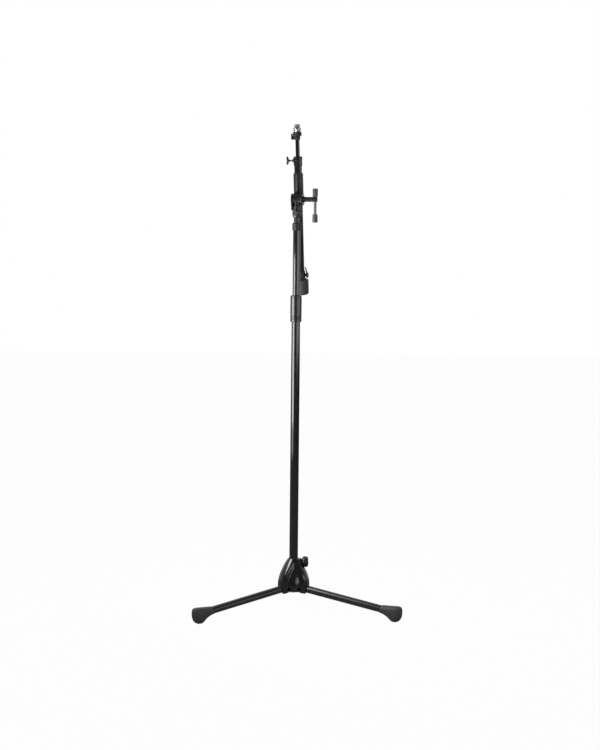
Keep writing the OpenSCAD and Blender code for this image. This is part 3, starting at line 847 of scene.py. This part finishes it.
def off_lobe(angle):
    """The angle from the middle of the nearest lobe."""
    return np.abs((angle - math.pi / 2 + math.pi / 3) % (2 * math.pi / 3) - math.pi / 3)


def hub_edge(angle):
    """Height of the lower edge, which rises by EDGE_RISE under the valleys."""
    return HUB_LOW + EDGE_RISE * eased((40 * np.sin(off_lobe(angle)) - 14.8) / 3)


def hub_radius(angle, height):
    """Lobe radius where r sin a from a lobe's middle is under LOBE_HALF, valley radius past VALLEY_FROM."""
    lobe = np.interp(height, LOBE_LINE[:, 1], LOBE_LINE[:, 0])
    valley = np.interp(height, VALLEY_LINE[:, 1], VALLEY_LINE[:, 0])
    share = eased((lobe * np.sin(off_lobe(angle)) - LOBE_HALF) / (VALLEY_FROM - LOBE_HALF))
    inset = 0
    for inside in (height - hub_edge(angle), HUB_HIGH - height):
        inset = inset + RIM - np.sqrt(RIM**2 - np.clip(RIM - inside, 0, RIM) ** 2)
    return lobe + (valley - lobe) * share - inset


def hub_casting():
    bend = RIM * (1 - np.cos(np.linspace(0, math.pi / 2, 5)))
    flank = np.linspace(HUB_LOW + 3, HUB_HIGH - 3, 74)
    height = np.concatenate([HUB_LOW + bend, flank, HUB_HIGH - bend[::-1]])[:, None]
    angle = circle(HUB_AROUND)[None, :]
    height = HUB_HIGH - (HUB_HIGH - height) * (HUB_HIGH - hub_edge(angle)) / (HUB_HIGH - HUB_LOW)
    radius = hub_radius(angle, height)
    outside = np.stack([radius * np.cos(angle), radius * np.sin(angle), height], -1) * MM
    bore = 12.9
    lining = np.array([(bore + 0.7, HUB_HIGH), (bore, HUB_HIGH - 0.7), (bore, HUB_LOW + 10.3),
                       (16, HUB_LOW + 10.3), (16, HUB_LOW)])
    rings = np.concatenate([outside, turn_rings(lining, HUB_AROUND)])
    return mesh_object("hub_casting", rings.reshape(-1, 3), grid_faces(len(rings), HUB_AROUND, True))


# %% [markdown]
# The casting is opened from below with solids that are taken away. Over each leg there is an arched
# slot, square inside so that the leg's root can swing down, with a pocket behind it and counterbores
# for the pin heads. There is also a hollow under each valley, and a flat round seat for the knob. A
# thin bead is then swept along each arch where it meets the outside, because a cast edge is thick
# and rounded there and catches the light.

# %% The hub
KNOB = along_x(shifted(MAST, z=middle("hub_screw", MAST, 2)))
SLOT = 10.8
ARCH = rounded([(-SLOT, -25, 0), (-SLOT, 10.9, 7.5), (SLOT, 10.9, 7.5), (SLOT, -25, 0)], 7.5, steps=10)
PIN_HEAD = 14.8


def arch_bead(name, radius=0.55):
    """A round bead along the arch: each arch point slides along the leg to the hub's surface."""
    matrix = leg_place(name)
    foot = -9.6
    line = np.concatenate([np.linspace([-SLOT, foot], ARCH[1], 12)[:-1], ARCH[1:-1],
                           np.linspace(ARCH[-2], [SLOT, foot], 12)[1:]])
    near, far = np.full(len(line), 2.0), np.full(len(line), 24.0)
    for _ in range(30):
        halfway = (near + far) / 2
        x, y, z = (np.column_stack([line, halfway]) @ matrix[:3, :3].T + matrix[:3, 3] / MM).T
        inside = np.hypot(x, y) < hub_radius(np.arctan2(y, x), z)
        near, far = np.where(inside, halfway, near), np.where(inside, far, halfway)
    path = np.column_stack([line, near - 0.35])
    tangent = unit_rows(np.gradient(path, axis=0))
    first = unit_rows(np.cross(tangent, [0.0, 0.0, 1.0]))
    second = np.cross(tangent, first)
    turn = circle(12)[None, :, None]
    rings = path[:, None] + radius * (first[:, None] * np.cos(turn) + second[:, None] * np.sin(turn))
    return moved(tube_grid(rings * MM), matrix)


def hub_piece():
    hub = hub_casting()
    cutters = []

    def knife(shell, matrix):
        cutters.append(mesh_object("knife", *moved(shell, matrix)))

    hollow = both_sides([(19.5, -3), (27.2, -16.6), (31.6, -10)], [(33, 0)])
    thin, square = 0.01, SLOT - 0.05
    for name, degrees in LEG_TURN.items():
        matrix = leg_place(name)
        knife(slab_shell(ARCH, -10.9, 36, thin, 0), matrix)
        knife(slab_shell(box_outline(-square, square, -12, 10.8), -10.8, 10.7, thin, 0.3), matrix)
        upright = place(matrix[:3, 3], [0, 0, 1], matrix[:3, 0])
        knife(slab_shell(box_outline(-8.8, 8.8, -4, 9), -5, 31, 2.5, 3.5), upright)
        for side in (1, -1):
            counterbore = turned_shell(box_outline(0, 5.4, PIN_HEAD, 30), 0, 48)
            knife(counterbore, turned(matrix, [side, 0, 0], [0, 0, 1]))
        valley = level(math.radians(degrees + 60))
        knife(slab_shell(hollow, 50, 88, 1.2, 3), place([0, 0, 0], [0, 0, 1], valley))
    knife(turned_shell(box_outline(0, 16.2, 24.6, 50), 0), KNOB)
    cut(hub, cutters)
    ring = [(4.2, 13.6), (10.4, 13.6), (10.4, 23.2, 0.6), (9.6, 24, 0.5), (4.2, 24)]
    boss = mesh_object("hub_boss", *moved(turned_shell(ring, 0.4), KNOB))
    beads = mesh_object("hub_beads", *carried(MAST, [arch_bead(name) for name in LEG_TURN]))
    joined = bmesh.new()
    for part in (hub, boss, beads):
        joined.from_mesh(part.data)
    joined.to_mesh(hub.data)
    joined.free()
    for spare in (boss, beads):
        bpy.data.objects.remove(spare)
    finish_piece(hub, "hub")


hub_piece()

# %% [markdown]
# The knob is moulded with ten scallops for the fingers. Where a ray from its axis meets a scallop,
# the radius is the near side of that circle, c cos d - sqrt(q * q - (c sin d) ** 2), and elsewhere
# it is the knob's own.

# %% The knob, the pins and the plug
def scallops(count, rim, centre, radius, phase):
    """Radius factor of a rim with round scallops of a radius, whose centres lie outside the rim."""
    def swell(angle, height):
        step = 2 * math.pi / count
        away = (angle - phase + step / 2) % step - step / 2
        under = radius**2 - (centre * np.sin(away)) ** 2
        reach = np.where(under > 0, centre * np.cos(away) - np.sqrt(np.maximum(under, 0)), rim)
        return np.repeat(np.minimum(reach, rim) / rim, len(height), 0)
    return swell


def hub_details():
    low, high = span("hub_knob", KNOB)[2:]
    rim, count = 15.5, 10
    knob = [(0, low), (10.4, low, 0.4), (14, low + 1.4, 1.2), (rim, low + 4.2, 2), (rim, high - 5.2, 2),
            (14.1, high - 1.9, 1.8), (11, high - 0.2, 1.5), (8, high, 0.4), (7.6, high - 0.6, 0.4),
            (0, high - 0.7)]
    turned_piece("hub_knob", KNOB, knob, 0.6, 400, scallops(count, rim, 18.4, 3.5, math.pi / count))
    screw_piece("hub_screw_thread", "hub_screw", KNOB, 4, 1.25, 0.55)
    pin = both_sides([(0, -16.6), (2.4, -16.5, 2), (4.8, -15.5, 0.6), (5, -PIN_HEAD, 0.2), (3, -PIN_HEAD)])
    rivet = turned_shell(pin, 0.2, 48)
    across = [turned(leg_place(name), [1, 0, 0], [0, 0, 1]) for name in LEG_TURN]
    shell_piece("leg_rivets", "leg_pins", [moved(rivet, matrix) for matrix in across])
    inner, outer, low, high = span("tube_end_plug", MAST)
    bore, flange = 11.2, 4.5
    plug = [(inner, low), (outer - 1.2, low, 1), (outer, low + 1.2, 0.6), (outer, low + 3.9, 0.5),
            (outer - 0.8, low + flange, 0.4), (bore, low + flange), (bore, high), (inner, high)]
    turned_piece("tube_end_plug", MAST, plug, 0.4)


hub_details()

# %% [markdown]
# A foot is a rubber shoe pushed over the end of the leg. It starts as a thin slanted lip round the
# tube and swells into a rounded block with a flat sole. It is a loft: loops carried from the lip to
# the toe, each a superellipse in the slanted plane between a point of the foot's lower line and a
# point of its upper line. The loft then turns back inside the lip and lines the bore.

# %% The feet
FOOT_ANGLE, FOOT_AROUND = 50, 96
# Each row: lower point (out, up), upper point (out, up), half width, power of the superellipse.
FOOT = np.array([(272, 21.9, 280, 43.8, 12, 2), (279, 20.6, 284, 44.2, 12.6, 2.2),
                 (286, 18.2, 289, 44.2, 13, 2.4), (292, 15.2, 296, 44.2, 13.6, 2.6),
                 (298, 11.6, 303, 44.4, 14.2, 2.8), (303, 7.4, 309, 44.6, 14.7, 3),
                 (307.5, 3.2, 314, 44.8, 15, 3), (312, 0.4, 319, 45, 15, 3), (317, 0, 324, 45, 14.8, 3),
                 (323, 0, 329, 45, 14.2, 3), (329, 2.2, 333.5, 44.4, 13, 2.9),
                 (334, 7.2, 336.6, 42.6, 11, 2.8), (337.4, 13.6, 338.4, 39, 8.4, 2.6),
                 (339, 23, 339, 33, 4.4, 2.2)])


def foot_shell(name):
    """Loops: half height * sign(sin v) |sin v| ** (2 / n) up, half width * the same of cos v across."""
    along = np.linspace(0, len(FOOT) - 1, 66)
    loops = np.stack([np.interp(along, np.arange(len(FOOT)), column) for column in FOOT.T], 1)
    low, high = loops[:, None, :2], loops[:, None, 2:4]
    half, power = loops[:, 4:5], 2 / loops[:, 5:]
    v = circle(FOOT_AROUND)[None, :]
    rise = np.sign(np.sin(v)) * np.abs(np.sin(v)) ** power
    spread = np.sign(np.cos(v)) * np.abs(np.cos(v)) ** power
    plane = (low + high) / 2 + (high - low) / 2 * rise[..., None]
    turn = math.radians(LEG_TURN[name])
    out, side = level(turn)[:2], level(turn + math.pi / 2)[:2]
    flat = plane[..., :1] * out + (half * spread)[..., None] * side
    outside = np.concatenate([flat, plane[..., 1:]], 2) * MM
    matrix = leg_place(name)
    outer, _, end = span(name + "_leg_tube", matrix)[1:]
    reach = outer + 0.05
    lip = (outside[0] - matrix[:3, 3]) @ matrix[:3, 2] / MM
    bore = []
    for depth in (0.0, 0.15, 0.5, 1.0):
        height = lip + 0.3 + (end - lip - 0.3) * depth
        ring = np.stack([reach * np.cos(v[0]), reach * np.sin(v[0]), height], -1)
        bore.append(ring * MM @ matrix[:3, :3].T + matrix[:3, 3])
    return tube_grid(np.concatenate([np.array(bore[::-1]), outside]))


for leg in LEG_TURN:
    shell_piece(leg + "_shoe", leg + "_foot", [foot_shell(leg)], smooth_angle=FOOT_ANGLE)

# %% [markdown]
# The stand is in a white studio. The floor is a matt sheet that also glows a little for the camera alone,
# so that only faint shadows stay on it. Its own colour is a mid grey rather than white: painted shade,
# so that the glossy parts reflect a dimly lit floor.

# %% The floor
FLOOR_GLOW = 0.98


def studio_floor():
    reach, drop = 14.0, 0.0002
    corner = np.array([(-1, -1), (1, -1), (1, 1), (-1, 1)]) * reach
    points = np.column_stack([corner, np.full(4, -drop)])
    floor = mesh_object("studio_floor", points, [(0, 1, 2, 3)])
    paper = Finish("white_paper_painted_shade", Roughness=0.9, Specular_IOR_Level=0.1)
    mottle = paper.noise(3, 2)
    # The grey base colour is painted shade: glossy parts reflect this floor darker than the white floor it stands
    # for.
    paper.feed(Base_Color=paper.blend(mottle, (0.4, 0.4, 0.4), (0.42, 0.42, 0.42)))
    tree = paper.tree
    ray = tree.nodes.new("ShaderNodeLightPath")
    glow = tree.nodes.new("ShaderNodeEmission")
    mix = tree.nodes.new("ShaderNodeMixShader")
    share = Value(paper, ray.outputs["Is Camera Ray"]) * FLOOR_GLOW
    for slot, part in enumerate((share.socket, paper.shader.outputs[0], glow.outputs[0])):
        tree.links.new(part, mix.inputs[slot])
    tree.links.new(mix.outputs[0], tree.nodes["Material Output"].inputs["Surface"])
    floor.data.materials.append(paper.material)


studio_floor()

# %% [markdown]
# A glossy black tube shows the room rather than itself, so the room is part of the finish. The
# world is white behind the stand and dim towards the camera. Four lamps face the mast. Close by on
# the left a strip makes the bright line along each tube, and a weaker one under it lets that line
# fade downwards. A high one further off makes the streak on the hub. A wide soft one on the right
# makes the weaker, broader reflection. No lamp is seen by the camera itself.

# %% The world and the lamps
def studio_world(dim, white, fill):
    world = bpy.data.worlds.new("studio")
    bpy.context.scene.world = world
    world.use_nodes = True
    tree = world.node_tree
    room = Finish.__new__(Finish)
    room.tree = tree
    back = tree.nodes["Background"]
    where = room.node("ShaderNodeTexCoord", out="Generated")
    forward = room.node("ShaderNodeSeparateXYZ", None, where, out=1)
    seen = forward.ramp(-0.3, 0.8) * (white - dim) + dim
    ray = tree.nodes.new("ShaderNodeLightPath")
    camera = Value(room, ray.outputs["Is Camera Ray"])
    rays = [Value(room, ray.outputs[kind]) for kind in ("Is Glossy Ray", "Is Transmission Ray")]
    glossy = camera.math("MAXIMUM", *rays)
    plain = (1 - camera) * ((1 - glossy) * fill + glossy * seen)
    tree.links.new((camera + plain).socket, back.inputs["Strength"])
    back.inputs["Color"].default_value = (1, 1, 1, 1)


def softbox(name, azimuth, distance, low, width, height, radiance):
    """An area lamp beside the stand, facing the mast; its power is radiance * pi * area."""
    turn = math.radians(azimuth)
    lamp = bpy.data.lights.new(name, "AREA")
    lamp.shape, lamp.size, lamp.size_y = "RECTANGLE", width, height
    lamp.energy = radiance * math.pi * width * height
    away = np.array([math.sin(turn), -math.cos(turn), 0.0])
    made = bpy.data.objects.new(name, lamp)
    bpy.context.scene.collection.objects.link(made)
    made.visible_camera = False
    origin = away * distance + np.array([0, 0, low + height / 2])
    made.matrix_world = Matrix(place(origin, away, np.cross([0, 0, 1], away)).tolist())


studio_world(dim=0.12, white=1.0, fill=0.2)
# Each row: name, azimuth, distance, lower edge, width, height, radiance.
softbox("left_strip", -67, 0.45, 0.5, 0.37, 0.53, 12)
softbox("left_low", -67, 0.45, 0.4, 0.37, 0.1, 4)
softbox("left_high", -66, 2.5, 1.4, 1.5, 1.2, 9)
softbox("right_panel", 48, 3.4, 0.55, 4.2, 0.75, 3.6)

# %% [markdown]
# The camera is a long way off and level with the middle of the mast. Its direction is given as a
# yaw from +Y towards +X, a pitch and a small roll.

# %% The camera
def studio_camera(origin, yaw, pitch, roll, lens):
    yaw, pitch, roll = np.radians([yaw, pitch, roll])
    ahead = np.array([math.sin(yaw) * math.cos(pitch), math.cos(yaw) * math.cos(pitch), math.sin(pitch)])
    right = unit(np.cross(ahead, [0, 0, 1]))
    up = np.cross(right, ahead)
    right = right * math.cos(roll) + up * math.sin(roll)
    camera = bpy.data.objects.new("studio_camera", bpy.data.cameras.new("studio_camera"))
    camera.data.lens, camera.data.sensor_width = lens, 36
    camera.matrix_world = Matrix(place(origin, -ahead, right).tolist())
    bpy.context.scene.collection.objects.link(camera)
    bpy.context.scene.camera = camera


studio_camera((-0.3531, -4.4861, 0.99), yaw=4.671, pitch=-3.855, roll=0.565, lens=75.15)
bpy.context.scene.view_settings.view_transform = "Standard"
